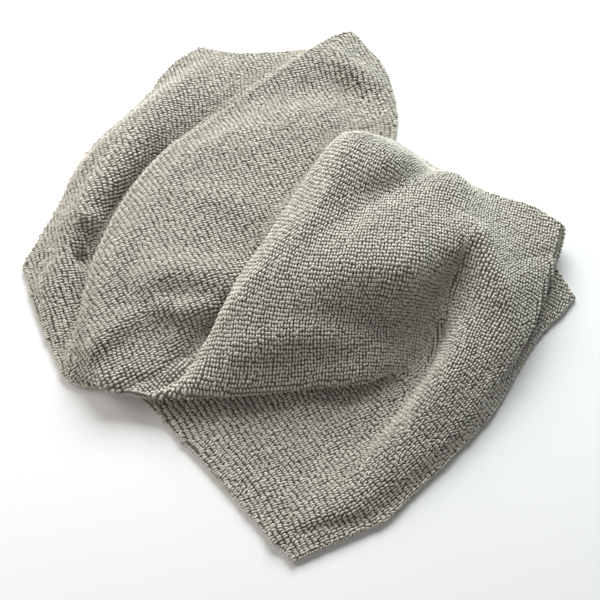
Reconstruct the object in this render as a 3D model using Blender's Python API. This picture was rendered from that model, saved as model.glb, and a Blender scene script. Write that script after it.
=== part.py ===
"""Looped microfibre cloth, 300 mm square, lying in loose folds on a flat surface.

One cut square of double-sided looped knit. Its hem is turned and sewn on the cloth itself, so the whole
cloth is one solid. The front corner F lies flat. Behind it the cloth is gathered in a tuck whose rolled
lip overhangs the flat part. From the lip three loose waves run to the rear: a low one on the left, a
broad one in the middle and a high soft hump on the right. Each laps over the wave on its left. The right
edge is folded once under itself, and the right corner looks out below that fold.

Lengths in the tables are millimetres. X is to the right, Y to the rear and Z up.
"""
import bmesh
import bpy
import numpy as np

NODE = "cloth_sheet"
THICK = 2.2          # the knit with its pile pressed down, mm
FLAT = 1.5           # table height of a layer that lies on the surface
LAYER = 2.5          # rise from a lying layer to the middle of a turn, mm
SNAP = 0.45          # an underside nearer the surface than this lies flat on it, mm
CENTRE = (-1.995, 37.515)   # plan middle of the folded cloth in the tables, mm

# Stations along a fold line, from the front hem to the rear hem.
STATIONS = ("hem", "turn", "lip", "face", "shoulder", "top", "back", "end")
# Steps of the mesh: hem, start of the turn, turn, under, near the lip, lip, over, face and so on.
STEPS_ALONG = (4, 1, 1, 1, 2, 2, 4, 6, 6, 6, 5)
FINER = 3            # the surface is worked out this many times finer to find its normals
EASING = 8           # rounds that ease the front part sideways, where the tuck opens and closes

# A row for each fold line, from the left side to the right side. A place is (x, y, height).
FOLDS = (
    # name, steps to the next row, then the stations in order
    ("left_edge", 3, (-162, 31, 1.5), (-160, 38, 1.5), (-156, 49, 1.5), (-146, 77, 1.8),
     (-131, 124, 2.2), (-108, 157, 2.2), (-87, 190, 1.8), (-69, 217, 1.5)),
    ("left_wave", 3, (-151, -1, 1.5), (-149, 3, 2.8), (-147, 8, 5.0), (-141, 27, 10.0),
     (-128, 65, 12.0), (-108, 107, 12.0), (-74, 161, 9.0), (-42, 211, 2.0)),
    ("middle_roll", 1, (-129, -47, 1.5), (-127, -43, 3.2), (-126, -38, 6.0), (-123, -16, 10.5),
     (-117, 32, 13.0), (-94, 94, 14.0), (-45, 157, 14.0), (18, 216, 8.0)),
    ("middle_crest", 1, (-118, -55, 1.5), (-116, -52, 3.6), (-114, -48, 7.4), (-112, -22, 15.0),
     (-104, 28, 20.0), (-77, 87, 21.0), (-28, 147, 18.5), (34, 229, 5.5)),
    ("middle_front", 2, (-106, -52, 1.5), (-105, -47, 4.0), (-107, -57, 8.6), (-101, -24, 14.0),
     (-92, 25, 20.0), (-65, 84, 20.0), (-15, 147, 16.5), (44, 218, 2.5)),
    ("middle_back", 3, (-96, -53, 1.5), (-91, -41, 4.0), (-96, -62, 9.0), (-88, -27, 12.5),
     (-74, 20, 20.5), (-45, 80, 17.0), (6, 146, 12.0), (56, 198, 1.5)),
    ("middle_foot", 3, (-84, -62, 1.5), (-74, -40, 4.0), (-77, -65, 9.0), (-64, -36, 11.5),
     (-45, 5, 16.0), (-17, 63, 10.0), (19, 118, 7.0), (63, 153, 1.5)),
    ("hump_roll", 2, (-68, -80, 1.5), (-46, -40, 4.0), (-61, -62, 9.0), (-51, -33, 16.0),
     (-30, 9, 23.0), (0, 62, 32.0), (22, 99, 35.0), (36, 124, 10.0)),
    ("hump_crest", 4, (-59, -90, 1.5), (-25, -40, 4.0), (-41, -62, 9.0), (-32, -33, 23.0),
     (-8, 9, 34.0), (17, 56, 40.0), (31, 98, 39.0), (54, 122, 12.0)),
    ("hump_middle", 4, (-49, -101, 1.5), (14, -38, 4.0), (0, -56, 9.0), (4, -29, 25.0),
     (22, 9, 40.0), (42, 54, 41.0), (60, 84, 37.0), (73, 113, 6.5)),
    ("hump_right", 3, (-39, -113, 1.5), (44, -44, 4.0), (36, -53, 9.0), (43, -27, 18.0),
     (57, 5, 35.0), (74, 51, 33.0), (90, 78, 29.0), (95, 99, 2.0)),
    ("lip_end", 1, (-34, -119, 1.5), (54, -49, 3.4), (59, -43, 7.4), (62, -23, 11.0),
     (73, 10, 25.0), (88, 44, 29.0), (100, 66, 25.0), (106, 87, 7.0)),
    ("valley", 3, (-29, -125, 1.5), (57, -57, 3.2), (68, -42, 5.2), (76, -18, 7.0),
     (86, 17, 17.0), (99, 38, 26.0), (108, 58, 20.0), (115, 77, 12.0)),
    ("flap_crest", 3, (-19, -137, 1.5), (26, -112, 6.0), (56, -86, 11.0), (79, -58, 15.0),
     (97, -27, 18.0), (113, 2, 22.0), (127, 33, 17.0), (139, 66, 13.0)),
    ("flap_fold", 1, (-11, -146, 1.5), (31, -126, 5.0), (64, -99, 7.0), (93, -68, 9.0),
     (124, -27, 10.0), (140, 7, 10.5), (149, 29, 10.5), (156, 53, 10.0)),
    ("right_hem", 0, (-3, -154, 1.5), (44, -132, 1.5), (75, -101, 1.5), (103, -70, 1.5),
     (128, -29, 1.5), (139, -14, 1.5), (150, -3, 1.5), (158, 8, 1.5)),
)

# A row for each pleat, where a fold line laps over its neighbour.
# name: way that the lower layer runs under (x, y), side of the row that it is on,
# then how far under at each station, and the height of the layer below
PLEATS = {
    "middle_roll": ((0.863, -0.505), "before", (-3, -3, -3, 2, 7, 9, 5, -3),
                    (1.5, 1.6, 2.5, 2.0, 1.5, 1.5, 1.5, 1.5)),
    "hump_roll": ((0.887, -0.464), "before", (-3, -3, -3, -1, 6, 9, 10, 28),
                  (1.5, 4.0, 9.0, 11.0, 6.0, 4.0, 3.0, 1.5)),
    "flap_fold": ((-0.930, 0.365), "after", (-3, -3, -3, -3, 2, 14, 20, 24),
                  (1.5, 1.5, 1.5, 1.5, 1.5, 1.5, 1.5, 1.5)),
}


def spline(points, steps):
    """Points along a smooth line through the given ones, closer steps where the table asks for them."""
    points = np.asarray(points, float)
    first = 2 * points[0] - points[1]
    last = 2 * points[-1] - points[-2]
    q = np.vstack([first, points, last])
    out = []
    for i, count in enumerate(steps):
        p = q[i:i + 4]
        gap = np.sqrt(np.maximum(np.linalg.norm(np.diff(p, axis=0), axis=1), 0.3))
        t = np.concatenate([[0.0], np.cumsum(gap)])
        for s in np.linspace(t[1], t[2], count, endpoint=False):
            a = [(t[k + 1] - s) / gap[k] * p[k] + (s - t[k]) / gap[k] * p[k + 1] for k in range(3)]
            b = [(t[k + 2] - s) / (t[k + 2] - t[k]) * a[k] + (s - t[k]) / (t[k + 2] - t[k]) * a[k + 1]
                 for k in range(2)]
            out.append((t[2] - s) / gap[1] * b[0] + (s - t[1]) / gap[1] * b[1])
    out.append(points[-1])
    return np.array(out)


def turned(row):
    """A fold line with the extra points that round its hidden turn and its lip."""
    hem, turn, lip, face = row[:4]
    ahead = (turn - hem) / np.linalg.norm(turn - hem)
    back = (lip - turn) / np.linalg.norm(lip - turn)
    rise = (face - lip) / np.linalg.norm(face - lip)
    tucked = np.clip(0.5 - 1.2 * float(ahead @ back), 0.0, 1.0)
    low = turn[2] - hem[2]
    high = min(LAYER, 0.5 * (lip[2] - turn[2] + low))
    room = 0.36 * np.linalg.norm((lip - turn)[:2])
    step = 0.45 * (lip[2] - turn[2])
    up = np.array([0.0, 0.0, 1.0])
    flat = np.array([1.0, 1.0, 0.0])
    plain = (hem + 0.8 * (turn - hem), turn + 0.33 * (lip - turn), turn + 0.67 * (lip - turn),
             lip + 0.12 * (face - lip))
    folded = (turn - ahead * flat * low - up * low,
              turn + back * flat * min(low, room) + up * min(low, step),
              lip - back * flat * min(high, room) - up * min(high, step),
              lip + rise * flat * high + up * high)
    start, under, near, over = [p * (1.0 - tucked) + f * tucked for p, f in zip(plain, folded)]
    return [hem, start, turn, under, near, lip, over] + list(row[3:])


def fold_lines():
    """Every line of the sheet from left to right, pleats included, with the steps that follow each."""
    rows = [np.array(fold[2:], float) for fold in FOLDS]
    lines = []
    for k, (name, steps, *_) in enumerate(FOLDS):
        row = rows[k]
        if name not in PLEATS:
            lines.append((row, steps))
            continue
        way, side, depth, floor = PLEATS[name]
        way = np.array([*way, 0.0])
        depth = np.array(depth, float)[:, None]
        floor = np.array(floor, float)
        other = rows[k - 1] if side == "before" else rows[k + 1]
        reach = np.linalg.norm((other - row)[:, :2], axis=1)[:, None]
        rise = row[:, 2] - floor
        is_open = np.clip((depth + 2.0) / 5.0, 0.0, 1.0)
        is_open = is_open * is_open * (3.0 - 2.0 * is_open)
        layers = []
        # Lapped: share of the depth, setback and rise. Not lapped: distance from the row, share of the rise.
        for share, back, lift, apart, slope in (
                (0.65, 0.0, np.minimum(2 * LAYER, 0.52 * rise), 2.5, 0.75),
                (1.00, 0.0, np.minimum(LAYER, 0.27 * rise), 5.0, 0.45),
                (1.00, 3.0, 0.0 * rise, 7.5, 0.18)):
            lapped = row + way * (share * depth - back)
            lapped[:, 2] = floor + lift
            beside = row + (other - row) * np.minimum(apart / reach, apart / 10.0)
            beside[:, 2] = floor + slope * rise
            layers.append(lapped * is_open + beside * (1.0 - is_open))
        under, inner, first = layers
        if side == "before":
            lines += [(first, 1), (inner, 1), (under, 2), (row, steps)]
        else:
            above = row + way * 3.0
            above[:, 2] = row[:, 2] + LAYER * (0.4 + 0.6 * is_open[:, 0])
            lines += [(above, 1), (row, 1), (under, 2), (inner, 1), (first, 3)]
    return lines


def sheet_grid():
    """Middle surface of the cloth and its upward normals, as grids of points: [across, along]."""
    lines = fold_lines()
    along = [spline(turned(row), [n * FINER for n in STEPS_ALONG]) for row, _ in lines]
    across = [steps * FINER for _, steps in lines[:-1]]
    columns = [spline([line[j] for line in along], across) for j in range(len(along[0]))]
    fine = np.array(columns).transpose(1, 0, 2)
    lip = FINER * sum(STEPS_ALONG[:5])
    ease = 0.25 * np.clip((lip + 3 * FINER - np.arange(fine.shape[1])) / (3.0 * FINER), 0.0, 1.0)
    for _ in range(EASING):
        fine[1:-1] += ease[None, :, None] * (fine[:-2] - 2.0 * fine[1:-1] + fine[2:])
    fine -= (CENTRE[0], CENTRE[1], FLAT - THICK / 2)
    normal = np.cross(np.gradient(fine, axis=0), np.gradient(fine, axis=1))
    normal /= np.maximum(np.linalg.norm(normal, axis=2, keepdims=True), 1e-9)
    return fine[::FINER, ::FINER], normal[::FINER, ::FINER]


def solid_mesh(grid, normal):
    """The grid thickened on both sides and closed along its rim, as one body."""
    upper = grid + normal * THICK / 2
    lower = grid - normal * THICK / 2
    lower[:, :, 2] = np.where(lower[:, :, 2] < SNAP, 0.0, lower[:, :, 2])
    nu, nv = grid.shape[:2]
    mesh = bmesh.new()
    top = [[mesh.verts.new(upper[i, j] / 1000.0) for j in range(nv)] for i in range(nu)]
    low = [[mesh.verts.new(lower[i, j] / 1000.0) for j in range(nv)] for i in range(nu)]
    for i in range(nu - 1):
        for j in range(nv - 1):
            mesh.faces.new((top[i][j], top[i + 1][j], top[i + 1][j + 1], top[i][j + 1]))
            mesh.faces.new((low[i][j], low[i][j + 1], low[i + 1][j + 1], low[i + 1][j]))
    ring = [(i, 0) for i in range(nu)] + [(nu - 1, j) for j in range(1, nv)]
    ring += [(i, nv - 1) for i in range(nu - 2, -1, -1)] + [(0, j) for j in range(nv - 2, 0, -1)]
    for a, b in zip(ring, ring[1:] + ring[:1]):
        mesh.faces.new((top[a[0]][a[1]], low[a[0]][a[1]], low[b[0]][b[1]], top[b[0]][b[1]]))
    bmesh.ops.recalc_face_normals(mesh, faces=mesh.faces)
    bmesh.ops.triangulate(mesh, faces=mesh.faces)
    return mesh


def fabric():
    """Warm grey knit, matt."""
    material = bpy.data.materials.new("microfibre_grey")
    material.use_nodes = True
    shader = material.node_tree.nodes["Principled BSDF"]
    shader.inputs["Base Color"].default_value = (0.42, 0.39, 0.33, 1.0)
    shader.inputs["Roughness"].default_value = 0.95
    shader.inputs["Metallic"].default_value = 0.0
    return material


for old in list(bpy.data.objects):
    bpy.data.objects.remove(old, do_unlink=True)

body = solid_mesh(*sheet_grid())
data = bpy.data.meshes.new(NODE)
body.to_mesh(data)
body.free()
cloth = bpy.data.objects.new(NODE, data)
cloth.data.materials.append(fabric())
for polygon in cloth.data.polygons:
    polygon.use_smooth = True
bpy.context.scene.collection.objects.link(cloth)

corners = np.array([v.co for v in data.vertices]) * 1000.0
print("cloth", len(data.polygons), "triangles, from", corners.min(0).round(2), "to", corners.max(0).round(2))
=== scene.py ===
# %% [markdown]
# # A looped microfibre cloth in loose folds
#
# The real object is one square of knitted cloth, taken to be 300 mm a side, with short loops of yarn
# standing on both faces. It lies on a table in loose, uneven folds. A cloth like this is mostly *surface*:
# what the eye reads is the way the folds turn and the rows of small loops that follow them.
#
# So the model is made in that order. First the folds are worked out, then the rows of loops are laid out
# by the way they run in the picture. The thin ground knit and its loops are built on that, and last come
# the finish, the floor and the light.

# %% Load the fixed frame
import math

import bmesh
import bpy
import numpy as np
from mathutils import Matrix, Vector
from mathutils.bvhtree import BVHTree


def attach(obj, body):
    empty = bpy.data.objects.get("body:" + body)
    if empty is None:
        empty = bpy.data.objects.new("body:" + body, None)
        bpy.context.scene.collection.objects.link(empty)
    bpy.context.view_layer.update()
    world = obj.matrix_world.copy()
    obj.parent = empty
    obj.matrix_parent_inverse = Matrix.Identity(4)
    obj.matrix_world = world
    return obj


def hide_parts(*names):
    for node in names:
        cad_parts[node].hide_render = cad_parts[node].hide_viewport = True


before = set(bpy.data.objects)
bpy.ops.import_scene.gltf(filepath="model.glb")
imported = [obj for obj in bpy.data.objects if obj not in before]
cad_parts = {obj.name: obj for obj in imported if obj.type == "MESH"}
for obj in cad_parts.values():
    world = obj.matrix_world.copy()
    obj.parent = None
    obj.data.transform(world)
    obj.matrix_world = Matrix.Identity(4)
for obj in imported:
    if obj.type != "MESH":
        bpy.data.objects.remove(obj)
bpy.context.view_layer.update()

# %% [markdown]
# ## Named sizes
#
# A maker knows a cloth by a few sizes: how long its side is, how thick the knit is without its loops and
# how tall the loops stand. Naming them once means that a change to the cloth is a change to one line. How
# far apart the rows of loops are differs from fold to fold, so it comes later, in the table of the rows.

# %% Sizes of the cloth, in millimetres
GROUND = 0.9                # the ground knit without its loops
PRESSED = 2.2               # the knit with its pile pressed down, as the solid has it
LAID = 1.5                  # table height of a layer that lies on the surface
ROLL = 2.5                  # rise from a lying layer to the middle of a turn
LOOP_TALL = 1.25            # from the ground to the top of a loop
CENTRE = (-1.995, 37.515)   # plan middle of the folded cloth in the tables

# %% [markdown]
# ## The folds as a short table
#
# A folded cloth can be described the way a pattern cutter chalks one: lines across it, and the places
# that each line passes. Every row below is one fold line, from the left side of the cloth to its right
# side, and every column is a station along it, from the front hem to the rear hem. A smooth curve through
# the stations gives the line, and a smooth curve across the lines gives the surface. A cloth simulation
# could drop a square into folds too, but not into *these* folds.
#
# The places were picked in the photograph. A separate program turned them into millimetres through
# the camera's angle, and most were then moved. Twelve heights were raised after a program had
# worked out a map of heights from the photograph's light and shade.

# %% The fold lines
STATIONS = ("hem", "turn", "lip", "face", "shoulder", "top", "back", "end")
STEPS_ALONG = (12, 1, 1, 1, 2, 2, 4, 6, 6, 6, 5)    # mesh steps between a fold line's points
FOLDS = (
    # name, steps to the next row, then the stations in order: (x, y, height)
    ("left_edge", 3, (-162, 31, 1.5), (-160, 38, 1.5), (-156, 49, 1.5), (-146, 77, 1.8),
     (-131, 124, 2.2), (-108, 157, 2.2), (-87, 190, 1.8), (-69, 217, 1.5)),
    ("left_wave", 3, (-151, -1, 1.5), (-149, 3, 2.8), (-147, 8, 5.0), (-141, 27, 10.0),
     (-128, 65, 12.0), (-108, 107, 12.0), (-74, 161, 9.0), (-42, 211, 2.0)),
    ("middle_roll", 1, (-129, -47, 1.5), (-127, -43, 3.2), (-126, -38, 6.0), (-123, -16, 10.5),
     (-117, 32, 13.0), (-94, 94, 14.0), (-45, 157, 14.0), (18, 216, 8.0)),
    ("middle_crest", 1, (-118, -55, 1.5), (-116, -52, 3.6), (-114, -48, 7.4), (-112, -22, 15.0),
     (-104, 28, 20.0), (-77, 87, 21.0), (-28, 147, 18.5), (34, 229, 5.5)),
    ("middle_front", 2, (-106, -52, 1.5), (-105, -47, 4.0), (-107, -57, 8.6), (-101, -24, 14.0),
     (-92, 25, 20.0), (-65, 84, 20.0), (-15, 147, 16.5), (44, 218, 2.5)),
    ("middle_back", 3, (-96, -53, 1.5), (-91, -41, 4.0), (-96, -62, 9.0), (-88, -27, 12.5),
     (-74, 20, 20.5), (-45, 80, 17.0), (6, 146, 12.0), (56, 198, 1.5)),
    ("middle_foot", 3, (-84, -62, 1.5), (-74, -40, 4.0), (-77, -65, 9.0), (-64, -36, 11.5),
     (-45, 5, 16.0), (-17, 63, 10.0), (19, 118, 7.0), (63, 153, 1.5)),
    ("hump_roll", 2, (-68, -80, 1.5), (-46, -40, 4.0), (-61, -62, 9.0), (-51, -33, 16.0),
     (-30, 9, 23.0), (0, 62, 32.0), (22, 99, 35.0), (36, 124, 10.0)),
    ("hump_crest", 4, (-59, -90, 1.5), (-25, -40, 4.0), (-41, -62, 9.0), (-32, -33, 23.0),
     (-8, 9, 34.0), (17, 56, 40.0), (31, 98, 39.0), (54, 122, 12.0)),
    ("hump_middle", 4, (-49, -101, 1.5), (14, -38, 4.0), (0, -56, 9.0), (4, -29, 25.0),
     (22, 9, 40.0), (42, 54, 41.0), (60, 84, 37.0), (73, 113, 6.5)),
    ("hump_right", 3, (-39, -113, 1.5), (44, -44, 4.0), (36, -53, 9.0), (43, -27, 18.0),
     (57, 5, 35.0), (74, 51, 33.0), (90, 78, 29.0), (95, 99, 2.0)),
    ("lip_end", 1, (-34, -119, 1.5), (54, -49, 3.4), (59, -43, 7.4), (62, -23, 11.0),
     (73, 10, 25.0), (88, 44, 29.0), (100, 66, 25.0), (106, 87, 7.0)),
    ("valley", 3, (-29, -125, 1.5), (57, -57, 3.2), (68, -42, 5.2), (76, -18, 7.0),
     (86, 17, 17.0), (99, 38, 26.0), (108, 58, 20.0), (115, 77, 12.0)),
    ("flap_crest", 3, (-19, -137, 1.5), (26, -112, 6.0), (56, -86, 11.0), (79, -58, 15.0),
     (97, -27, 18.0), (113, 2, 22.0), (127, 33, 17.0), (139, 66, 13.0)),
    ("flap_fold", 1, (-11, -146, 1.5), (31, -126, 5.0), (64, -99, 7.0), (93, -68, 9.0),
     (124, -27, 10.0), (140, 7, 10.5), (149, 29, 10.5), (156, 53, 10.0)),
    ("right_hem", 0, (-3, -154, 1.5), (44, -132, 1.5), (75, -101, 1.5), (103, -70, 1.5),
     (128, -29, 1.5), (139, -14, 1.5), (150, -3, 1.5), (158, 8, 1.5)),
)
NAMES = [fold[0] for fold in FOLDS]
print(len(FOLDS), "fold lines of", len(STATIONS), "stations")

# %% [markdown]
# ## Pleats
#
# Where one wave of the cloth laps over the next, the sheet goes back under itself before it goes on. A
# table of three pleats says which fold line laps, which way the hidden layer runs in plan, and how far
# under it reaches at each station. A negative reach means that the pleat has closed up there.

# %% The pleats
PLEATS = {
    # name: way under (x, y), side of the row, reach at each station, height of the layer below
    "middle_roll": ((0.863, -0.505), "before", (-3, -3, -3, 2, 7, 9, 5, -3),
                    (1.5, 1.6, 2.5, 2.0, 1.5, 1.5, 1.5, 1.5)),
    "hump_roll": ((0.887, -0.464), "before", (-3, -3, -3, -1, 6, 9, 10, 28),
                  (1.5, 4.0, 9.0, 11.0, 6.0, 4.0, 3.0, 1.5)),
    "flap_fold": ((-0.930, 0.365), "after", (-3, -3, -3, -3, 2, 14, 20, 24),
                  (1.5, 1.5, 1.5, 1.5, 1.5, 1.5, 1.5, 1.5)),
}
print("pleats:", ", ".join(PLEATS))

# %% [markdown]
# ## From the table to a surface
#
# Cloth has no corners along a fold, only tight curves. A centripetal Catmull-Rom curve passes through
# every station without overshooting where two stations are close, which is just what a tight turn needs.
# Two more helpers round the hidden turn under the lip and put in the layers of each pleat.

# %% A smooth curve through given places
def spline(points, steps):
    """Points along a smooth line through the given ones, with a number of steps for each stretch."""
    points = np.asarray(points, float)
    q = np.vstack([2 * points[0] - points[1], points, 2 * points[-1] - points[-2]])
    out = []
    for i, count in enumerate(steps):
        p = q[i:i + 4]
        gap = np.sqrt(np.maximum(np.linalg.norm(np.diff(p, axis=0), axis=1), 0.3))
        t = np.concatenate([[0.0], np.cumsum(gap)])
        for s in np.linspace(t[1], t[2], count, endpoint=False):
            a = [(t[k + 1] - s) / gap[k] * p[k] + (s - t[k]) / gap[k] * p[k + 1] for k in range(3)]
            b = [(t[k + 2] - s) / (t[k + 2] - t[k]) * a[k] + (s - t[k]) / (t[k + 2] - t[k]) * a[k + 1]
                 for k in range(2)]
            out.append((t[2] - s) / gap[1] * b[0] + (s - t[1]) / gap[1] * b[1])
    out.append(points[-1])
    return np.array(out)


print("a curve through three places has", len(spline([(0, 0, 0), (1, 1, 0), (2, 0, 0)], (4, 4))), "points")

# %% Round the hidden turn and the lip
def turned(row):
    """A fold line with the extra points that round its hidden turn and its lip."""
    hem, turn, lip, face = row[:4]
    ahead = (turn - hem) / np.linalg.norm(turn - hem)
    back = (lip - turn) / np.linalg.norm(lip - turn)
    rise = (face - lip) / np.linalg.norm(face - lip)
    # 1 where the line turns back under the lip, 0 where it runs straight on.
    tucked = np.clip(0.5 - 1.2 * float(ahead @ back), 0.0, 1.0)
    low = turn[2] - hem[2]
    high = min(ROLL, 0.5 * (lip[2] - turn[2] + low))
    room = 0.36 * np.linalg.norm((lip - turn)[:2])
    step = 0.45 * (lip[2] - turn[2])
    up = np.array([0.0, 0.0, 1.0])
    flat = np.array([1.0, 1.0, 0.0])
    plain = (hem + 0.8 * (turn - hem), turn + 0.33 * (lip - turn), turn + 0.67 * (lip - turn),
             lip + 0.12 * (face - lip))
    folded = (turn - ahead * flat * low - up * low,
              turn + back * flat * min(low, room) + up * min(low, step),
              lip - back * flat * min(high, room) - up * min(high, step),
              lip + rise * flat * high + up * high)
    start, under, near, over = [p * (1.0 - tucked) + f * tucked for p, f in zip(plain, folded)]
    return [hem, start, turn, under, near, lip, over] + list(row[3:])


print("a fold line gets", len(turned(np.array(FOLDS[8][2:], float))), "points")

# %% Put in the layers of the pleats
def fold_lines():
    """Every line of the sheet from left to right, pleats included, with the steps that follow each."""
    rows = [np.array(fold[2:], float) for fold in FOLDS]
    lines = []
    for k, (name, steps, *_) in enumerate(FOLDS):
        row = rows[k]
        if name not in PLEATS:
            lines.append((row, steps, k))
            continue
        way, side, depth, floor = PLEATS[name]
        way = np.array([*way, 0.0])
        depth = np.array(depth, float)[:, None]
        floor = np.array(floor, float)
        other = rows[k - 1] if side == "before" else rows[k + 1]
        reach = np.linalg.norm((other - row)[:, :2], axis=1)[:, None]
        rise = row[:, 2] - floor
        is_open = np.clip((depth + 2.0) / 5.0, 0.0, 1.0)
        is_open = is_open * is_open * (3.0 - 2.0 * is_open)
        layers = []
        # Lapped: share of the reach, setback and rise. Not lapped: distance from the row, share of the rise.
        for share, back, lift, apart, slope in (
                (0.65, 0.0, np.minimum(2 * ROLL, 0.52 * rise), 2.5, 0.75),
                (1.00, 0.0, np.minimum(ROLL, 0.27 * rise), 5.0, 0.45),
                (1.00, 3.0, 0.0 * rise, 7.5, 0.18)):
            lapped = row + way * (share * depth - back)
            lapped[:, 2] = floor + lift
            beside = row + (other - row) * np.minimum(apart / reach, apart / 10.0)
            beside[:, 2] = floor + slope * rise
            layers.append(lapped * is_open + beside * (1.0 - is_open))
        under, inner, first = layers
        if side == "before":
            lines += [(first, 1, k), (inner, 1, k), (under, 2, k), (row, steps, k)]
        else:
            above = row + way * 3.0
            above[:, 2] = row[:, 2] + ROLL * (0.4 + 0.6 * is_open[:, 0])
            lines += [(above, 1, k), (row, 1, k), (under, 2, k), (inner, 1, k), (first, 3, k)]
    return lines


print(len(fold_lines()), "lines with the pleats' layers")

# %% The middle surface of the cloth
FINER = 3               # the surface is worked out this many times finer than the table's steps
EASING = 8              # rounds that ease the front part sideways, where the tuck opens and closes


def sheet_grid(finer):
    """Middle surface of the cloth in mm, [across, along], with finer times the table's steps."""
    lines = fold_lines()
    along = [spline(turned(row), [n * finer for n in STEPS_ALONG]) for row, _, _ in lines]
    across = [steps * finer for _, steps, _ in lines[:-1]]
    columns = [spline([line[j] for line in along], across) for j in range(len(along[0]))]
    fine = np.array(columns).transpose(1, 0, 2)
    lip = finer * sum(STEPS_ALONG[:5])
    # The easing is full up to the lip and gone three steps past it.
    ease = 0.25 * np.clip((lip + 3 * finer - np.arange(fine.shape[1])) / (3.0 * finer), 0.0, 1.0)
    for _ in range(EASING):
        fine[1:-1] += ease[None, :, None] * (fine[:-2] - 2.0 * fine[1:-1] + fine[2:])
    fine -= (CENTRE[0], CENTRE[1], LAID - PRESSED / 2)
    fine[..., 2] = np.maximum(fine[..., 2], PRESSED / 2)
    return fine


def normals_of(grid):
    """Upward normal at each point of a grid."""
    normal = np.cross(np.gradient(grid, axis=0), np.gradient(grid, axis=1))
    return normal / np.maximum(np.linalg.norm(normal, axis=2, keepdims=True), 1e-9)


STATION_POINT = (0, 2, 5, 7, 8, 9, 10, 11)      # which of a turned line's points each station is
STATION_STEP = {name: sum(STEPS_ALONG[:point]) for name, point in zip(STATIONS, STATION_POINT)}
smooth_folds = sheet_grid(FINER)
print("middle surface:", smooth_folds.shape[0], "by", smooth_folds.shape[1], "points")

# %% [markdown]
# ## Creases
#
# The big folds alone look like a smooth shell. Handled cloth also keeps shallow dents and ridges: a
# trough beside each ridge, a sharp valley where two folds meet, a line where it was folded before. Each
# is one row of a table that a tailor could chalk: how wide, how high or deep, and the places it passes. A
# place is a fold line and a station, each with its share of the way to the next, such as 8.5 for halfway
# from line 8 to line 9. The height dies away to both ends and both sides. Where the creases lie and how
# deep they are was judged from the photograph's light and shade, with the same map of heights as a guide.

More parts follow.
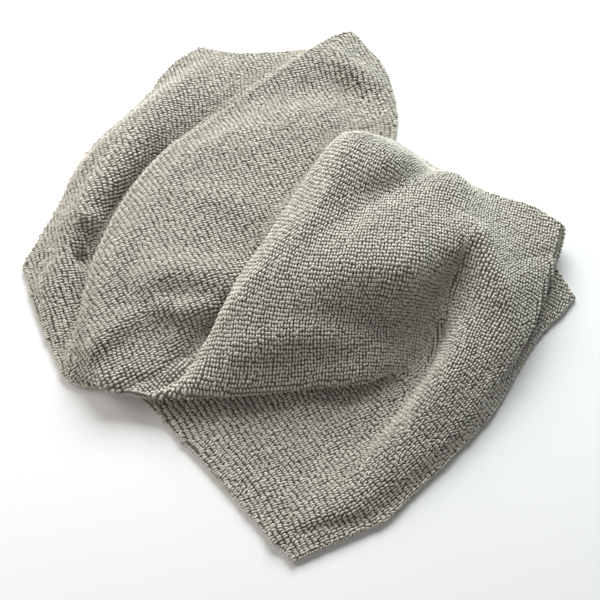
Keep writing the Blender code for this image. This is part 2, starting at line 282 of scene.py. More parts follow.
# %% The table of creases
CREASES = (
    # half width, height (less than 0 is a trough), then the places (fold line, station)
    (17.0, 4.4, (8.8, 3.5), (9.8, 3.8), (10.8, 4.1), (11.9, 4.5), (12.9, 5.1)),  # brow of the hump
    (11.0, 5.0, (11.4, 4.0), (12.0, 4.5), (12.2, 5.3)),  # where brow and flap meet
    (11.0, -7.5, (8.7, 4.2), (9.0, 4.9), (9.4, 5.6), (9.5, 6.2), (9.5, 6.9)),  # hollow behind the brow
    (7.0, 2.6, (8.0, 3.0), (8.0, 4.2), (8.0, 5.4), (8.1, 6.3)),  # the hump's left ridge
    (6.0, 4.2, (7.4, 3.2), (7.6, 3.8), (7.6, 4.6)),  # the swell in front of that ridge
    (8.0, 2.6, (7.8, 2.8), (9.0, 2.9), (10.4, 2.8)),  # the full lower face
    (4.0, -3.0, (10.2, 1.9), (10.6, 1.7), (11.1, 1.5)),  # turned under at its right end
    (7.0, -4.6, (12.5, 0.9), (12.1, 1.6), (11.9, 2.3), (12.1, 2.9), (12.4, 3.5)),  # valley to the right flap
    (6.0, 2.4, (12.4, 5.0), (12.9, 5.0), (13.3, 4.4), (13.5, 3.6)),  # the flap's bent ridge
    (7.0, 1.6, (12.9, 1.6), (12.7, 2.6), (12.8, 3.3), (12.8, 4.0)),  # the flap's long left ridge
    (4.0, -1.6, (12.9, 5.5), (13.5, 5.9), (14.0, 6.1)),  # a dent across the flap's corner
    (19.0, -8.0, (2.5, 5.3), (2.9, 6.0), (3.8, 6.3), (4.8, 6.4), (5.8, 6.5)),  # rear dip of the middle
    (13.0, 3.0, (4.3, 4.7), (5.2, 4.8), (6.0, 5.0)),  # its full front slope
    (8.0, 6.5, (3.4, 6.8), (4.1, 6.7), (4.8, 6.7), (5.4, 6.8)),  # and the ridge behind it
    (11.5, 5.2, (4.5, 3.5), (5.1, 3.8), (5.7, 4.0), (6.4, 4.3)),  # swell along the middle
    (7.0, 4.6, (5.0, 3.4), (5.6, 3.5), (6.1, 3.8)),  # and its steep front edge
    (7.0, 4.6, (2.6, 2.4), (3.2, 2.7), (4.0, 3.0), (4.8, 3.3)),  # swell over the low end
    (7.5, -5.6, (4.8, 2.2), (5.6, 2.5), (6.3, 2.8), (7.0, 2.8)),  # dip beside the low end
    (6.5, -5.0, (6.3, 2.8), (6.4, 3.2), (6.45, 3.6), (6.5, 4.1)),  # deep along the hump's edge
    (5.0, 1.6, (6.9, 1.9), (7.2, 2.4), (7.4, 3.0)),  # the curl at the low end
    (1.8, -2.0, (8.3, 0.6), (8.9, 0.35), (10.1, 0.22), (12.9, 0.3), (14.6, 0.2)),  # an old line, in front
    (2.6, 1.4, (8.1, 0.45), (8.7, 0.22), (10.0, 0.12), (12.7, 0.15), (14.2, 0.1)),  # the ridge beside it
    (3.0, -1.2, (13.7, 0.2), (14.2, 0.7), (14.8, 1.3)),  # a short line by the hem
    (9.0, 2.0, (8.3, 0.6), (9.2, 0.55), (10.4, 0.5)),  # a low swell in front
    (5.0, -9.0, (1.1, 3.52), (1.16, 3.64), (1.24, 3.76)),  # the pocket in the left wave
    (5.0, 6.0, (0.98, 3.78), (1.06, 3.95), (1.12, 4.1), (1.12, 4.3)),  # and the steep wall behind it
    (5.0, 5.0, (1.07, 4.2), (1.08, 4.6), (1.08, 5.0), (1.06, 5.6)),  # the wave's full right side
    (9.0, 7.0, (0.4, 3.6), (0.5, 4.4), (0.6, 5.4), (0.7, 6.7)),  # the left wave's rolled rear
    (6.0, 4.4, (0.93, 3.6), (0.94, 4.2), (0.95, 5.0), (0.95, 5.8)),  # and its crest
    (5.0, -8.0, (1.24, 3.8), (1.22, 4.3), (1.22, 4.8), (1.24, 5.4)),  # and its deep right side
    (6.0, -3.0, (1.4, 3.7), (1.4, 4.4), (1.35, 5.2), (1.3, 6.2)),  # the groove beside that
    (8.0, 4.5, (0.0, 5.6), (0.0, 6.2), (0.1, 6.8)),  # the left edge's raised rear
    (7.0, -2.0, (0.6, 2.2), (0.7, 2.7), (0.7, 3.2)),  # dip in the wave's low end
)
print(len(CREASES), "creases")

# %% Press the creases into the folds
def line_index():
    """Number of the grid line that is each fold line's own."""
    index, at = {}, 0
    lines = fold_lines()
    for k, name in enumerate(NAMES):
        of_fold = [i for i, (_, _, fold) in enumerate(lines) if fold == k]
        own = of_fold[1] if name in PLEATS and PLEATS[name][1] == "after" else of_fold[-1]
        index[name] = sum(steps for _, steps, _ in lines[:own])
    return index


across_of = line_index()


def grid_place(line, station):
    """Place in the coarse grid of a fold line and a station, each with its share to the next."""
    return (np.interp(line, range(len(NAMES)), [across_of[name] for name in NAMES]),
            np.interp(station, range(len(STATIONS)), [STATION_STEP[name] for name in STATIONS]))


def between(values, i, j, u, v):
    """A fine grid's values in its cells i, j, the shares u and v of the way across and along them."""
    return (values[i, j] * (1 - u) * (1 - v) + values[i + 1, j] * u * (1 - v)
            + values[i, j + 1] * (1 - u) * v + values[i + 1, j + 1] * u * v)


def at_place(values, place):
    """A fine grid's value at a place of the coarse grid."""
    i, j = np.minimum((np.array(place) * FINER).astype(int), np.array(values.shape[:2]) - 2)
    u, v = np.array(place) * FINER - (i, j)
    return between(values, i, j, u, v)


CREASE_STEPS = 12       # points for each stretch of a crease
CREASE_REACH = 14       # grid steps that a crease reaches, so that it presses no other layer near it
OUT_OF_REACH = 1000.0   # put between a crease and a place that it doesn't reach, mm
END_POWER = 0.6         # how quickly a crease rises from its ends; 1 would be a plain half wave


def pressed(grid):
    """The grid with every crease pressed in along the cloth's own normal."""
    normal = normals_of(grid)
    index = np.stack(np.meshgrid(*[np.arange(n) / FINER for n in grid.shape[:2]], indexing="ij"), axis=2)
    lift = np.zeros(grid.shape[:2])
    for half_width, height, *places in CREASES:
        marks = [(*grid_place(*place), 0.0) for place in places]
        path = spline(marks, [CREASE_STEPS] * (len(places) - 1))[:, :2]
        line = np.array([at_place(grid, place) for place in path])
        apart = np.linalg.norm(grid[:, :, None] - line, axis=3)
        apart += OUT_OF_REACH * (np.abs(index[:, :, None] - path).max(axis=3) > CREASE_REACH)
        nearest = apart.argmin(axis=2)
        ends = np.sin(np.pi * (nearest + 0.5) / len(path)) ** END_POWER
        lift += height * ends * np.exp(-(apart.min(axis=2) / half_width) ** 2)
    dented = grid + normal * lift[..., None]
    dented[..., 2] = np.maximum(dented[..., 2], PRESSED / 2)
    return dented


middle = pressed(smooth_folds)
upward = normals_of(middle)
print("pressed in by at most", round(float(np.linalg.norm(middle - smooth_folds, axis=2).max()), 1), "mm")

# %% [markdown]
# ## The camera
#
# The picture looks down at the cloth from 54 degrees above the table, about 0.7 m away and with a 72 mm
# lens, so the far corner comes out smaller than the near one. The camera comes early because the rows of
# loops are laid next by the way they run in the view.

# %% Camera
ELEVATION = math.radians(54.0)
PICTURE_PX = 600.0      # side of the picture
FOCAL_PX = 1200.0       # focal length, in the picture's pixels
PX_PER_MM = 1.77        # how large the cloth is in the picture
AIM_HEIGHT = 9.6        # the camera looks at the tables' place (0, 0), this far above the surface, mm
SENSOR = 36.0           # sensor width, mm
DISTANCE = FOCAL_PX / PX_PER_MM
aim = np.array([-CENTRE[0], -CENTRE[1], AIM_HEIGHT])
forward = np.array([0.0, math.cos(ELEVATION), -math.sin(ELEVATION)])
eye = aim - forward * DISTANCE


def added(name, data):
    """A new object of the given data, linked to the scene."""
    thing = bpy.data.objects.new(name, data)
    bpy.context.scene.collection.objects.link(thing)
    return thing


lens = bpy.data.cameras.new("camera")
lens.sensor_width = SENSOR
lens.lens = SENSOR * FOCAL_PX / PICTURE_PX
camera = added("camera", lens)
camera.location = eye / 1000.0
camera.rotation_euler = (math.pi / 2 - ELEVATION, 0.0, 0.0)
bpy.context.scene.camera = camera
print("camera", round(DISTANCE), "mm from the cloth, lens", round(lens.lens), "mm")

# %% [markdown]
# ## Which way the rows run
#
# The knit's rows are straight on the flat cloth, but folds turn them. On a tilted surface the eye judges
# a fold largely by how the rows bend over it. So separate programs measured their way and their spacing
# at places in the photograph. Evened out, they are in a table: the fold line, the station, the
# angle at which the rows seem to run there, in degrees down from the right, and the two distances on the
# cloth in millimetres. Between these places the way and the distances are blended.

# %% The way of the rows at fifty places
ROW_WAYS = (
    # fold line, station, angle of the rows as seen, row to row, loop to loop
    ("left_wave", "turn", 76, 2.8, 1.7), ("left_wave", "face", 76, 2.7, 1.6),
    ("left_wave", "shoulder", 86, 2.5, 1.7), ("left_wave", "top", 78, 2.7, 1.7),
    ("left_edge", "shoulder", 84, 2.7, 1.7), ("middle_roll", "face", 68, 3.0, 1.5),
    ("middle_crest", "lip", 68, 3.0, 1.5), ("middle_front", "face", 67, 2.9, 1.5),
    ("middle_front", "shoulder", 69, 3.0, 1.5), ("middle_front", "top", 65, 3.1, 1.6),
    ("middle_front", "back", 64, 3.0, 1.6), ("middle_back", "face", 64, 2.9, 1.5),
    ("middle_back", "shoulder", 66, 3.0, 1.5), ("middle_foot", "face", 62, 2.8, 1.5),
    ("middle_foot", "shoulder", 63, 2.9, 1.5), ("middle_foot", "top", 62, 3.0, 1.6),
    ("middle_foot", "back", 62, 3.0, 1.6), ("hump_roll", "face", -5, 2.2, 1.6),
    ("hump_roll", "shoulder", 2, 2.3, 1.6), ("hump_roll", "top", 8, 2.3, 1.6),
    ("hump_crest", "lip", -5, 2.1, 1.5), ("hump_crest", "face", -4, 2.2, 1.5),
    ("hump_crest", "shoulder", 3, 2.3, 1.5), ("hump_crest", "top", 12, 2.3, 1.6),
    ("hump_crest", "back", 14, 2.3, 1.7), ("hump_middle", "face", -5, 2.1, 1.4),
    ("hump_middle", "shoulder", -1, 2.3, 1.5), ("hump_middle", "top", 5, 2.4, 1.6),
    ("hump_right", "face", -6, 2.0, 1.4), ("hump_right", "shoulder", 2, 2.4, 1.6),
    ("hump_right", "top", 2, 2.4, 1.7), ("lip_end", "face", -4, 2.1, 1.5), ("valley", "face", 16, 2.3, 1.6),
    ("valley", "shoulder", 10, 2.3, 1.6), ("valley", "top", 6, 2.4, 1.7),
    ("flap_crest", "back", 22, 2.6, 1.6), ("flap_crest", "top", 27, 2.7, 1.6),
    ("flap_crest", "shoulder", 32, 2.7, 1.6), ("flap_crest", "face", 38, 2.6, 1.5),
    ("flap_fold", "face", 44, 2.6, 1.5), ("flap_crest", "lip", 44, 2.6, 1.5),
    ("flap_fold", "lip", 46, 2.6, 1.5), ("flap_crest", "turn", 62, 2.5, 1.5),
    ("flap_fold", "turn", 54, 2.6, 1.5), ("valley", "turn", 62, 2.4, 1.6),
    ("hump_roll", "hem", 74, 3.2, 1.5), ("hump_middle", "hem", 72, 2.9, 1.4),
    ("hump_right", "hem", 70, 2.7, 1.5), ("valley", "hem", 70, 2.5, 1.5),
    ("flap_fold", "hem", 60, 3.0, 1.4),
)
print(len(ROW_WAYS), "places")

# %% Turn what is seen into an angle on the cloth
def seen(point):
    """Where a place on the cloth lies in the picture, in pixels."""
    q = np.asarray(point) - eye
    depth = q @ forward
    lift = np.array([0.0, math.sin(ELEVATION), math.cos(ELEVATION)])
    return np.array([FOCAL_PX * q[0] / depth, -FOCAL_PX * (q @ lift) / depth])


NUDGE = 0.1             # share of a grid step that shows which way a step goes in the picture

coarse = smooth_folds[::FINER, ::FINER]
angles, places = [], []
step_u = np.gradient(coarse, axis=0)
step_v = np.gradient(coarse, axis=1)
facing = normals_of(coarse)
for name, station, degrees, *_ in ROW_WAYS:
    i, j = across_of[name], STATION_STEP[station]
    here, du, dv = coarse[i, j], step_u[i, j], step_v[i, j]
    turn = np.column_stack([seen(here + NUDGE * step) - seen(here) for step in (du, dv)])
    a, b = np.linalg.solve(turn, [math.cos(math.radians(degrees)), math.sin(math.radians(degrees))])
    way = a * du + b * dv
    along = dv / np.linalg.norm(dv)
    angles.append(math.atan2(facing[i, j] @ np.cross(along, way), along @ way) % math.pi)
    places.append((i / coarse.shape[0], j / coarse.shape[1]))
angles, places = np.array(angles), np.array(places)
lie = np.degrees([angles.min(), angles.max()]).round().astype(int)
print("at these places the rows lie", *lie, "degrees from the fold lines")

# %% [markdown]
# ## Laying the rows
#
# A weaver would number the rows and the loops in a row: every place on the cloth has a row number and a
# loop number, like a house on a street. On the folded cloth the two numbers are found by asking that they
# grow steadily across and along the rows, as nearly as the folds allow. That is one set of linear
# equations, the same idea as flattening a skin, and it keeps the loops evenly spaced round every fold.

# %% Blend the way of the rows over the whole cloth
BLEND = 0.002           # how soon one place's way gives over to the next, as a share of the cloth, squared
CLOSER = 0.97           # the rows and loops are set this much closer than the table says

nu, nv = coarse.shape[:2]
gu, gv = np.meshgrid(np.arange(nu) / nu, np.arange(nv) / nv, indexing="ij")
near = 1.0 / ((gu[..., None] - places[:, 0]) ** 2 + (gv[..., None] - places[:, 1]) ** 2 + BLEND) ** 2
twice = np.arctan2(near @ np.sin(2 * angles), near @ np.cos(2 * angles)) % (2 * math.pi)
turn_to = (twice / 2)[..., None]
line_way = step_v / np.linalg.norm(step_v, axis=2, keepdims=True)
side_way = np.cross(facing, line_way)
row_way = line_way * np.cos(turn_to) + side_way * np.sin(turn_to)
cross_way = np.cross(facing, row_way)
measured = np.array([place[3:] for place in ROW_WAYS])
pitch = CLOSER * (near @ measured) / near.sum(axis=2, keepdims=True)
print("blended over the cloth:", *np.degrees([turn_to.min(), turn_to.max()]).round().astype(int), "degrees")
print("from row to row", pitch[..., 0].min().round(2), "to", pitch[..., 0].max().round(2), "mm")

# %% Find what the viewer sees
HIDDEN_WEIGHT = 0.03    # how much a place that another layer hides counts for the rows
OWN_LAYER = 4.0         # a layer nearer to a place than this is taken for its own, mm


def shown(grid):
    """1 where a place of the grid is seen from the camera, and HIDDEN_WEIGHT where a layer hides it."""
    tree = BVHTree.FromPolygons(
        [Vector(p) for p in grid.reshape(-1, 3)],
        [(i * nv + j, (i + 1) * nv + j, (i + 1) * nv + j + 1, i * nv + j + 1)
         for i in range(nu - 1) for j in range(nv - 1)])
    weight = np.full((nu, nv), HIDDEN_WEIGHT)
    for i in range(nu):
        for j in range(nv):
            ray = Vector(grid[i, j]) - Vector(eye)
            hit = tree.ray_cast(Vector(eye), ray.normalized())
            if hit[3] is None or hit[3] > ray.length - OWN_LAYER:
                weight[i, j] = 1.0
    return weight


steady = shown(coarse)
print(round(100 * float((steady == 1.0).mean())), "% of the cloth's places are seen")

# %% Number the rows and the loops in a row
SHORTEST = 0.2          # shorter steps of the grid count as this long, mm

number = np.arange(nu * nv).reshape(nu, nv)
system = np.zeros((nu * nv, nu * nv))
right_side = np.zeros((nu * nv, 2))
for di, dj in ((1, 0), (0, 1), (1, 1), (1, -1)):
    a_i, a_j = np.meshgrid(np.arange(nu - di), np.arange(max(0, -dj), nv - max(0, dj)), indexing="ij")
    a = (a_i.ravel(), a_j.ravel())
    b = (a[0] + di, a[1] + dj)
    span = coarse[b] - coarse[a]
    weight = np.minimum(steady[a], steady[b]) / np.maximum(np.linalg.norm(span, axis=1), SHORTEST)
    grow = np.column_stack([
        np.sum(span * (way[a] + way[b]), axis=1) for way in (cross_way, row_way)]) / (pitch[a] + pitch[b])
    grow *= weight[:, None]
    na, nb = number[a], number[b]
    np.add.at(system, (na, na), weight)
    np.add.at(system, (nb, nb), weight)
    np.add.at(system, (na, nb), -weight)
    np.add.at(system, (nb, na), -weight)
    np.add.at(right_side, nb, grow)
    np.add.at(right_side, na, -grow)
system[0, 0] += 1.0
numbers = np.linalg.solve(system, right_side).reshape(nu, nv, 2)
even = numbers.reshape(-1, 2).max(0) - numbers.reshape(-1, 2).min(0)
print("about", *even.round().astype(int), "even rows and loops from corner to corner")

# %% [markdown]
# ## Rows that wander a little
#
# No knit is quite even: a row drifts to one side and comes back. So both numbers are shifted by a sum of
# slow waves with seeded random ways and lengths. The rows then bend softly and still never meet, which
# moving each loop on its own would not give.

# %% Let the rows wander
WANDER = 0.12           # how far a loop strays from its even place, as a share of the pitch
WAVES = 14              # waves in the sum
WAVE_LENGTHS = (4.0, 14.0)      # shortest and longest wave, in rows or loops


def finer(values, times):
    """Values of the coarse grid at every point of the fine one."""
    u = np.arange((values.shape[0] - 1) * times + 1) / times
    v = np.arange((values.shape[1] - 1) * times + 1) / times
    i = np.minimum(u.astype(int), values.shape[0] - 2)
    j = np.minimum(v.astype(int), values.shape[1] - 2)
    fu, fv = (u - i)[:, None, None], (v - j)[None, :, None]
    top = values[i][:, j] * (1 - fv) + values[i][:, j + 1] * fv
    low = values[i + 1][:, j] * (1 - fv) + values[i + 1][:, j + 1] * fv
    return top * (1 - fu) + low * fu


def wander(places, chance):
    """Slow unevenness of a knit: a sum of gentle waves over the row and loop numbers."""
    total = np.zeros(places.shape[:2])
    for _ in range(WAVES):
        way, length = chance.uniform(0.0, 2 * math.pi), chance.uniform(*WAVE_LENGTHS)
        phase = 2 * math.pi * (places @ (math.cos(way), math.sin(way))) / length
        total += np.sin(phase + chance.uniform(0.0, 6.3))
    return total / math.sqrt(WAVES / 2)


fine_numbers = finer(numbers, FINER)
uneven = np.random.default_rng(5)
fine_numbers = fine_numbers + np.stack([WANDER * wander(fine_numbers, uneven) for _ in range(2)], axis=2)
spread = fine_numbers.reshape(-1, 2).max(0) - fine_numbers.reshape(-1, 2).min(0)
print("with wandering, about", *spread.round().astype(int), "rows and loops")

# %% [markdown]
# ## The ground knit
#
# Under the loops is a thin close knit that carries them. It is made as cloth is: a flat grid with two
# faces that is laid over the folds. Its own thickness is under a millimetre, and the gaps between the
# loops show it. Its colour is painted dark, as painted shade for the shade that those gaps hold.

# %% The ground knit, laid on its folds
def lay_sheet(name, places_mm, thick):
    """A grid of quads moved onto the given places, with a real thickness and closed edges."""
    rows, columns = places_mm.shape[:2]
    sheet = bmesh.new()
    bmesh.ops.create_grid(sheet, x_segments=rows - 1, y_segments=columns - 1, size=0.5)
    sheet.verts.ensure_lookup_table()
    corners = [(round(vert.co.x, 6), vert.co.y) for vert in sheet.verts]
    order = sorted(range(len(corners)), key=lambda k: corners[k])
    for k, place in zip(order, places_mm.reshape(-1, 3)):
        sheet.verts[k].co = place / 1000.0
    mesh = bpy.data.meshes.new(name)
    sheet.to_mesh(mesh)
    sheet.free()
    piece = added(name, mesh)
    wall = piece.modifiers.new("thickness", "SOLIDIFY")
    wall.thickness = thick / 1000.0
    wall.offset = 0.0
    return piece


def settle(piece):
    """Applies a piece's modifiers, so that what is seen is its mesh."""
    done = bpy.data.meshes.new_from_object(piece.evaluated_get(bpy.context.evaluated_depsgraph_get()))
    piece.modifiers.clear()
    old, piece.data = piece.data, done
    bpy.data.meshes.remove(old)
    done.name = piece.name
    for polygon in done.polygons:
        polygon.use_smooth = True
    return piece


ground = lay_sheet("ground_knit", middle, GROUND)
settle(ground)
for vertex in ground.data.vertices:
    vertex.co.z = max(vertex.co.z, 0.0)
print("ground knit:", len(ground.data.polygons), "faces")

# %% [markdown]
# ## The loops
#
# Each loop is a short arch of yarn, wider across its row than along it. At this distance it reads as a
# small rounded grain, so one low grain is modelled for each face and set thousands of times. A real pile
# is never perfect: the loops lean, twist and differ a little in size. A seeded random series gives each
# loop its own lean, so that the cloth is the same at every run.

# %% One loop, as a grain of a few faces
CUT_AT = -0.35          # the grain's ball is cut off below this, to stand on a base
FULLNESS = 0.6          # under 1 makes the grain's shoulders fuller than a ball's


def grain(sides, rings):
    """A rounded grain that stands on its base: points within a unit, and its triangles."""
    bead = bmesh.new()
    bmesh.ops.create_uvsphere(bead, u_segments=sides, v_segments=rings, radius=1.0)
    bmesh.ops.bisect_plane(bead, geom=bead.verts[:] + bead.edges[:] + bead.faces[:],
                           plane_co=(0, 0, CUT_AT), plane_no=(0, 0, -1), clear_outer=True)
    bmesh.ops.triangulate(bead, faces=bead.faces[:])
    bead.verts.index_update()
    points = np.array([v.co[:] for v in bead.verts])
    faces = np.array([[v.index for v in f.verts] for f in bead.faces])
    bead.free()
    low = points[:, 2].min()
    points[:, 2] = ((points[:, 2] - low) / (1.0 - low)) ** FULLNESS
    return points, faces


upper_grain = grain(6, 3)
under_grain = grain(4, 3)
print("a loop above has", len(upper_grain[1]), "faces, and one below", len(under_grain[1]))

# %% Where the loops stand
def loop_places(numbers):
    """Every loop's place in the grid: [cell across, cell along, share across, share along]."""
    rows, columns = numbers.shape[0] - 1, numbers.shape[1] - 1
    found = []
    for corner, one, two in (((0, 0), (1, 0), (0, 1)), ((1, 1), (0, 1), (1, 0))):
        def at(c):
            return numbers[c[0]:c[0] + rows, c[1]:c[1] + columns].reshape(-1, 2)
        p, q, r = at(corner), at(one), at(two)
        low = np.ceil(np.minimum(np.minimum(p, q), r))
        reach = (np.floor(np.maximum(np.maximum(p, q), r)) - low).max(axis=0).astype(int) + 1
        area = (q - p)[:, 0] * (r - p)[:, 1] - (q - p)[:, 1] * (r - p)[:, 0]
        cell = np.arange(len(p))
        flat = abs(area) <= 1e-9
        size = np.where(flat, 1.0, area)
        for di in range(reach[0]):
            for dj in range(reach[1]):
                d = low + (di, dj) - p
                a = (d[:, 0] * (r - p)[:, 1] - d[:, 1] * (r - p)[:, 0]) / size
                b = ((q - p)[:, 0] * d[:, 1] - (q - p)[:, 1] * d[:, 0]) / size
                inside = (a >= 0) & (b >= 0) & (a + b < 1) & ~flat
                fu, fv = (a, b) if corner == (0, 0) else (1 - a, 1 - b)
                found.append(np.column_stack([cell // columns, cell % columns, fu, fv])[inside])
    return np.vstack(found)


spots = loop_places(fine_numbers)
print(len(spots), "places on each face")

# %% The step from loop to loop and from row to row
turn_u, turn_v = np.gradient(fine_numbers, axis=0), np.gradient(fine_numbers, axis=1)
grid_u, grid_v = np.gradient(middle, axis=0), np.gradient(middle, axis=1)
det = turn_u[..., 0] * turn_v[..., 1] - turn_u[..., 1] * turn_v[..., 0]
det = (np.sign(det) * np.maximum(np.abs(det), 1e-3))[..., None]
to_next_loop = (turn_u[..., :1] * grid_v - turn_v[..., :1] * grid_u) / det
to_next_row = (turn_v[..., 1:] * grid_u - turn_u[..., 1:] * grid_v) / det
print("loop to loop", np.median(np.linalg.norm(to_next_loop, axis=2)).round(2), "mm, row to row",
      np.median(np.linalg.norm(to_next_row, axis=2)).round(2), "mm")

# %% Values at the loops' places
def at_spots(values, spots):
    """Values of a fine grid at the loops' places."""
    i, j = spots[:, 0].astype(int), spots[:, 1].astype(int)
    return between(values, i, j, spots[:, 2:3], spots[:, 3:4])


def to_rim(grid):
    """Distance from each point of a grid to the cloth's rim, measured along the cloth."""
    runs = []
    for axis in (0, 1):
        step = np.linalg.norm(np.diff(grid, axis=axis), axis=2)
        run = np.insert(np.cumsum(step, axis=axis), 0, 0.0, axis=axis)
        runs += [run, np.take(run, [-1], axis=axis) - run]
    return np.minimum.reduce(runs)


def unit(vectors):
    """The vectors with length 1."""
    return vectors / np.maximum(np.linalg.norm(vectors, axis=1, keepdims=True), 1e-9)


print("the cloth's middle is", round(float(to_rim(middle).max())), "mm from the rim")

# %% Build loops from their feet
SIZE_VARIES = 0.10      # how much loops differ in length and in width, as a share
HEIGHT_VARIES = 0.11    # and in height
TWIST = 0.18            # how far a loop turns on its foot, radians
STRAY_ALONG = 0.10      # how far its foot strays along the row, mm
STRAY_ACROSS = 0.13     # and across it
LEAN = 0.17             # how far its top leans, mm
OFF_SURFACE = 0.02      # no loop comes nearer to the surface below than this, mm


def build_loops(name, shape, foot, out, along, across, tall, seed):
    """Loops with their feet, ways out and half sizes as given, joined into one piece."""
    chance = np.random.default_rng(seed)
    points, faces = shape
    count = len(foot)
    long = np.linalg.norm(along, axis=1, keepdims=True) * chance.normal(1.0, SIZE_VARIES, (count, 1))
    wide = np.linalg.norm(across, axis=1, keepdims=True) * chance.normal(1.0, SIZE_VARIES, (count, 1))
    row = unit(along - out * np.sum(along * out, axis=1, keepdims=True))
    over = np.cross(out, row)
    twist = chance.normal(0.0, TWIST, (count, 1))
    row, over = row * np.cos(twist) + over * np.sin(twist), over * np.cos(twist) - row * np.sin(twist)
    foot = foot + row * chance.normal(0.0, STRAY_ALONG, (count, 1))
    foot = foot + over * chance.normal(0.0, STRAY_ACROSS, (count, 1))
    lean = chance.normal(0.0, LEAN, (count, 2))
    high = tall * chance.normal(1.0, HEIGHT_VARIES, (count, 1))
    x, y, z = points[:, 0], points[:, 1], points[:, 2]
    place = (foot[:, None] + row[:, None] * (long * x + lean[:, :1] * z)[..., None]
             + over[:, None] * (wide * y + lean[:, 1:] * z)[..., None] + out[:, None] * (high * z)[..., None])
    place[..., 2] = np.maximum(place[..., 2], OFF_SURFACE)
    mesh = bpy.data.meshes.new(name)
    mesh.from_pydata((place.reshape(-1, 3) / 1000.0).tolist(), [],
                     (faces[None] + np.arange(count)[:, None, None] * len(points)).reshape(-1, 3).tolist())
    mesh.polygons.foreach_set("use_smooth", np.ones(count * len(faces), bool))
    # The rise, 0 at a loop's foot and 1 at its top, sets the painted shade towards the foot.
    rise = mesh.attributes.new("rise", "FLOAT", "POINT")
    rise.data.foreach_set("value", np.tile(z, count).astype(np.float32))
    tone = mesh.attributes.new("tone", "FLOAT", "POINT")
    tone.data.foreach_set("value", np.repeat(chance.normal(0.0, 1.0, count), len(points)).astype(np.float32))
    mesh.update()
    piece = added(name, mesh)
    print(" ", name, len(mesh.polygons), "triangles")
    return piece


print("a loop's top leans by about", LEAN, "mm")

# %% Set loops on both faces of the cloth
HALF_ALONG = 0.48       # half a loop's size as a share of the step to the next: along the row, the
HALF_ACROSS = 0.57      # loops nearly touch, and across it they press a little into the next row
STEP_ALONG = (1.0, 2.2)     # shortest and longest step that a loop's size follows along the row, mm
STEP_ACROSS = (1.6, 3.4)    # and across it
BELOW = 0.8             # loops below are this much as tall as those above, as the cloth lies on them
RIM_CLEAR = 0.6         # the loops' feet keep this far from the rim, which has loops of its own, mm


def set_loops(name, spots, shape, side, tall, seed):
    """Loops at the given places on one face of the cloth (side 1 or -1)."""
    out = unit(at_spots(upward, spots)) * side
    sizes = []
    for to_next, limits, share in ((to_next_loop, STEP_ALONG, HALF_ALONG),
                                   (to_next_row, STEP_ACROSS, HALF_ACROSS)):
        step = at_spots(to_next, spots)
        length = np.linalg.norm(step, axis=1, keepdims=True)
        sizes.append(unit(step) * np.clip(length, *limits) * share)
    return build_loops(name, shape, at_spots(middle, spots) + out * GROUND / 2, out, *sizes, tall, seed)


spots = spots[at_spots(to_rim(middle)[..., None], spots)[:, 0] > RIM_CLEAR]
spots = spots[np.argsort(spots[:, 0], kind="stable")]
print(len(spots), "loops on each face")
upper = [set_loops("loops_above_" + part, s, upper_grain, 1, LOOP_TALL, k + 1)
         for k, (part, s) in enumerate(zip(("left", "middle", "right"), np.array_split(spots, 3)))]
under = [set_loops("loops_below_" + part, s, under_grain, -1, LOOP_TALL * BELOW, k + 11)
         for k, (part, s) in enumerate(zip(("left", "right"), np.array_split(spots, 2)))]

# %% [markdown]
# ## The rim
#
# At the hem the looped knit is turned over a narrow edge, so the rim is soft and round and shows no cut.
# Loops set round it in a fan of four ways, from steeply up to steeply down, close the edge in the same
# yarn.

# %% Loops round the rim
RIM_PITCH = 1.5         # from loop to loop along the rim, mm
FAN = (58.0, 22.0, -14.0, -50.0)    # ways that the rim's loops point, degrees above the cloth
RIM_INSET = 0.75        # how far their feet stand in from the rim, mm
RIM_SPREAD = 0.3        # how far the fan's feet are spread up and down, mm
RIM_HALF = (0.85, 0.75)     # a rim loop's half size, along the rim and across it, mm
RIM_TALL = 1.0          # and its height, mm


def rim_line():
    """Even places round the cloth's rim: [middle, way outwards, way along, upward]."""
    sides = [(middle[:, 0], middle[:, 1], upward[:, 0]),
             (middle[-1], middle[-2], upward[-1]),
             (middle[::-1, -1], middle[::-1, -2], upward[::-1, -1]),
             (middle[0, ::-1], middle[1, ::-1], upward[0, ::-1])]
    found = []
    for edge, inner, up in sides:
        length = np.concatenate([[0.0], np.cumsum(np.linalg.norm(np.diff(edge, axis=0), axis=1))])
        at = np.linspace(0.0, length[-1], int(length[-1] / RIM_PITCH))
        columns = [np.column_stack([np.interp(at, length, values[:, k]) for k in range(3)])
                   for values in (edge, edge - inner, np.gradient(edge, axis=0), up)]
        found.append(np.stack(columns, axis=1))
    rim = np.vstack(found)
    along, up = unit(rim[:, 2]), unit(rim[:, 3])
    away = unit(rim[:, 1] - along * np.sum(rim[:, 1] * along, axis=1, keepdims=True))
    return rim[:, 0], away, along, up


edge, away, along, up = rim_line()
fans = []
for tilt in FAN:
    high = math.sin(math.radians(tilt))
    out = away * math.cos(math.radians(tilt)) + up * high
    fans.append((edge - away * RIM_INSET + up * RIM_SPREAD * high, out, along, np.cross(out, along)))
feet, outs, alongs, acrosses = [np.vstack(part) for part in zip(*fans)]
rim = build_loops("loops_round_rim", upper_grain, feet, outs, alongs * RIM_HALF[0], acrosses * RIM_HALF[1],
                  RIM_TALL, 21)

# %% [markdown]
# ## The yarn's finish
#
# The yarn is a matt, warm grey microfibre. A thousand thin fibres catch light at a flat angle, which is
# what sheen does in the shader. The colour is painted darker towards the foot of each loop, as painted
# shade where the yarn goes down between its neighbours, and each loop differs a little in tone, as yarn
# does. Broad soft noise adds the slight unevenness of a used cloth, and fine noise its fibres. All of it is
# worked out from the mesh and its own attributes.

# %% Nodes that the finish repeats
def attribute(tree, name):
    """A value that the mesh carries at each of its points."""
    node = tree.nodes.new("ShaderNodeAttribute")
    node.attribute_name = name
    return node.outputs["Fac"]


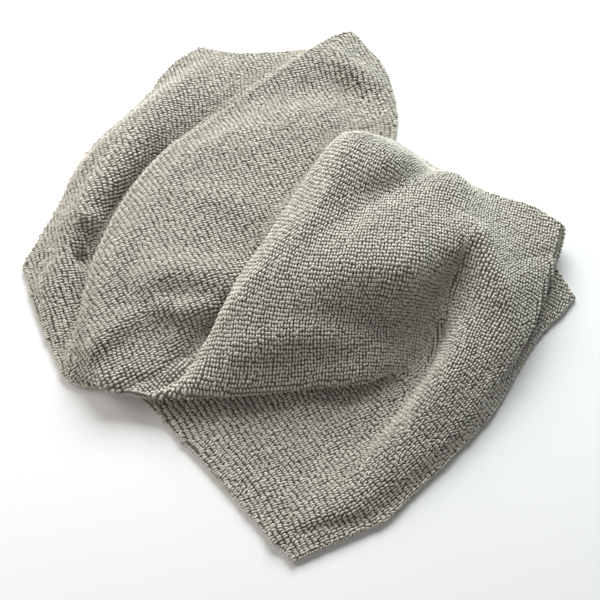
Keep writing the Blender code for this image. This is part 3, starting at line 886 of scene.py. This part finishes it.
def noise(tree, place, per_metre, detail):
    """Soft noise over the object's own space."""
    node = tree.nodes.new("ShaderNodeTexNoise")
    node.inputs["Scale"].default_value = per_metre
    node.inputs["Detail"].default_value = detail
    tree.links.new(place, node.inputs["Vector"])
    return node.outputs["Fac"]


def worked_out(tree, operation, *values):
    """A maths node whose inputs are plain numbers or what other nodes give."""
    node = tree.nodes.new("ShaderNodeMath")
    node.operation = operation
    for socket, value in zip(node.inputs, values):
        if isinstance(value, float):
            socket.default_value = value
        else:
            tree.links.new(value, socket)
    return node.outputs["Value"]


print("three kinds of node")

# %% The yarn's material
TONE = (0.05, 0.86)         # how much loops differ in tone, and the tone that all share
PATCHES = (28.0, 3.0, 0.26)     # broad noise: waves in a metre, detail, strength
FIBRES = (1000.0, 1.0, 0.7, 0.65)   # fine noise: the same, then the brightness that it adds to


def yarn(name, tip, foot, rough):
    """A matt yarn whose colour falls from the tip of a loop to its foot, as painted shade."""
    material = bpy.data.materials.new(name)
    material.use_nodes = True
    tree = material.node_tree
    shader = tree.nodes["Principled BSDF"]
    shader.inputs["Roughness"].default_value = rough
    shader.inputs["Specular IOR Level"].default_value = 0.15
    shader.inputs["Sheen Weight"].default_value = 0.25
    shader.inputs["Sheen Roughness"].default_value = 0.6
    # Painted shade: the colour darkens from the tip of each loop to its foot.
    foot_shade = tree.nodes.new("ShaderNodeMix")
    foot_shade.data_type = "RGBA"
    foot_shade.inputs["A"].default_value = foot
    foot_shade.inputs["B"].default_value = tip
    tree.links.new(attribute(tree, "rise"), foot_shade.inputs["Factor"])
    place = tree.nodes.new("ShaderNodeTexCoord").outputs["Object"]
    tone = worked_out(tree, "MULTIPLY_ADD", attribute(tree, "tone"), *TONE)
    patches = worked_out(tree, "MULTIPLY_ADD", noise(tree, place, *PATCHES[:2]), PATCHES[2], tone)
    fibres = worked_out(tree, "MULTIPLY_ADD", noise(tree, place, *FIBRES[:2]), *FIBRES[2:])
    bright = tree.nodes.new("ShaderNodeVectorMath")
    bright.operation = "SCALE"
    tree.links.new(foot_shade.outputs["Result"], bright.inputs[0])
    tree.links.new(worked_out(tree, "MULTIPLY", patches, fibres), bright.inputs["Scale"])
    tree.links.new(bright.outputs["Vector"], shader.inputs["Base Color"])
    return material


# The tip colour is the yarn's own; the darker foot colour is painted shade where the yarn goes down between
# the loops.
loop_yarn = yarn("loop_yarn", (0.61, 0.58, 0.51, 1.0), (0.29, 0.265, 0.225, 1.0), 0.92)
# The ground knit's dark colour is painted shade, the shade that the gaps between the loops hold.
GROUND_SHADE_COLOUR = (0.20, 0.18, 0.15, 1.0)
shaded_ground_yarn = yarn("shaded_ground_yarn", GROUND_SHADE_COLOUR, GROUND_SHADE_COLOUR, 0.95)
ground.data.materials.append(shaded_ground_yarn)
for piece in upper + under + [rim]:
    piece.data.materials.append(loop_yarn)
print("two yarn finishes on", len([ground, rim] + upper + under), "pieces")

# %% [markdown]
# ## Floor and light
#
# The stage is a plain pale floor. The light is a studio's: a wide window behind the cloth, a warm light
# from the left, a weak one in front and a dim room that keep the shade open. Light that comes in slanting
# from behind is what shows the folds, for every rise throws its shade towards the viewer. Each light is
# one row of a table, by its angle round the cloth and its angle above the table. Where the lights stand
# and how strong they are began as a program's fit to the photograph's light and shade, and was then
# changed.

# %% Floor
FLOOR_HALF = 3.0        # half the floor's side, m
FLOOR_DROP = 0.0003     # the floor lies this far under the cloth, so that no two faces share a plane, m
plane = bmesh.new()
bmesh.ops.create_grid(plane, x_segments=1, y_segments=1, size=FLOOR_HALF)
floor_mesh = bpy.data.meshes.new("floor")
plane.to_mesh(floor_mesh)
plane.free()
floor = added("floor", floor_mesh)
floor.location.z = -FLOOR_DROP
pale = bpy.data.materials.new("pale_floor")
pale.use_nodes = True
paint = pale.node_tree.nodes["Principled BSDF"]
paint.inputs["Base Color"].default_value = (0.86, 0.86, 0.86, 1.0)
paint.inputs["Roughness"].default_value = 0.9
floor_mesh.materials.append(pale)
print("floor", 2 * FLOOR_HALF, "m wide")

# %% Light
LIGHTS = (
    # name, degrees round (90 is behind the cloth), degrees up, width and height in m, watts, colour
    ("window", 82, 31, 1.0, 0.5, 23.0, (0.94, 1.0, 1.0)),
    ("left_light", 157, 24, 0.7, 0.5, 6.6, (1.0, 0.92, 0.86)),
    ("front_fill", 245, 24, 0.7, 0.5, 2.2, (1.0, 0.95, 0.92)),
)
ROOM_LIGHT = 0.09       # strength of the light that comes from all round
for name, round_angle, up_angle, wide, high, watts, colour in LIGHTS:
    light = bpy.data.lights.new(name, "AREA")
    light.shape = "RECTANGLE"
    light.size, light.size_y = wide, high
    light.energy = watts
    light.color = colour
    lamp = added(name, light)
    turn, lift = math.radians(round_angle), math.radians(up_angle)
    # Each lamp stands one metre from the middle of the cloth and faces it.
    lamp.location = (math.cos(lift) * math.cos(turn), math.cos(lift) * math.sin(turn), math.sin(lift))
    lamp.rotation_euler = (-lamp.location).to_track_quat("-Z", "Y").to_euler()
room = bpy.data.worlds.new("room")
bpy.context.scene.world = room
room.use_nodes = True
sky = room.node_tree.nodes["Background"]
sky.inputs["Color"].default_value = (0.95, 1.0, 1.0, 1.0)
sky.inputs["Strength"].default_value = ROOM_LIGHT
bpy.context.scene.view_settings.view_transform = "Standard"
print(len(LIGHTS), "soft lights and a dim room")

# %% [markdown]
# ## Attach the pieces
#
# Every piece belongs to the one body of the cloth. The ground knit stands for the plain solid, which is
# hidden.

# %% Attach the pieces and hide the solid
loops = upper + under + [rim]
for piece in [ground] + loops:
    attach(piece, "root")
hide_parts("cloth_sheet")
